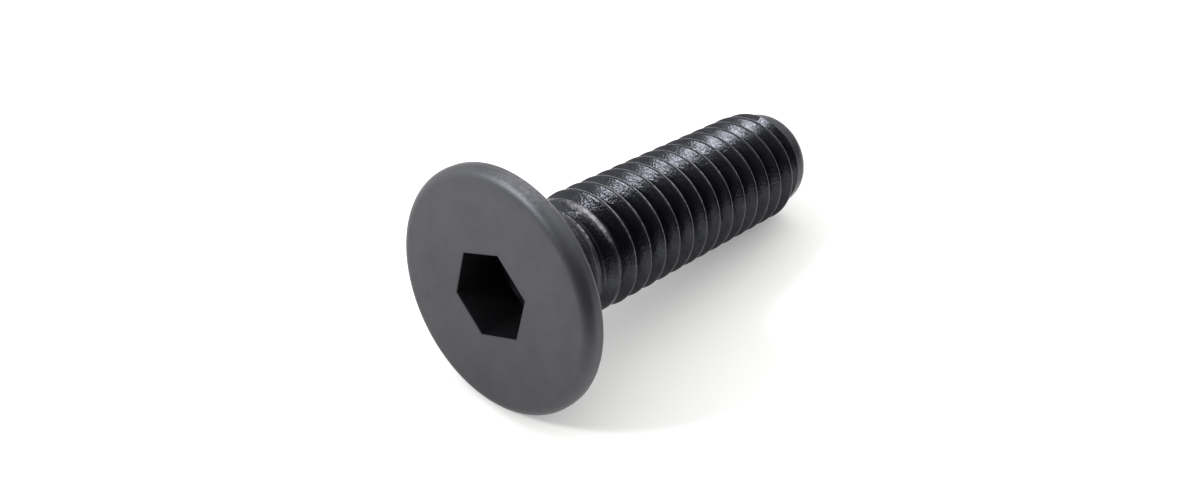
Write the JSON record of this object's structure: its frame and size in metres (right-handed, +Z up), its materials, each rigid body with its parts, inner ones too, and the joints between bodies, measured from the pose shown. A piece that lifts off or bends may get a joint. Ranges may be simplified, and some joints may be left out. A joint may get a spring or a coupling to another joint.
{
  "type": "countersunk screw",
  "caption": "Black countersunk machine screw with a flat hexagon-socket head, 90 degree seat and a thread along its whole shank.",
  "frame": {"origin": "on the surface the screw lies on, under the middle of its bounding box", "axes": "+X from head to tip along the surface, +Z up; the screw's own axis dips 8.6 degrees towards the tip"},
  "size_m": [0.0146, 0.0076, 0.0076],
  "materials": {
    "steel": "black oxide, satin, with grey worn crests"
  },
  "bodies": {
    "root": {"screw": "steel"}
  },
  "joints": []
}
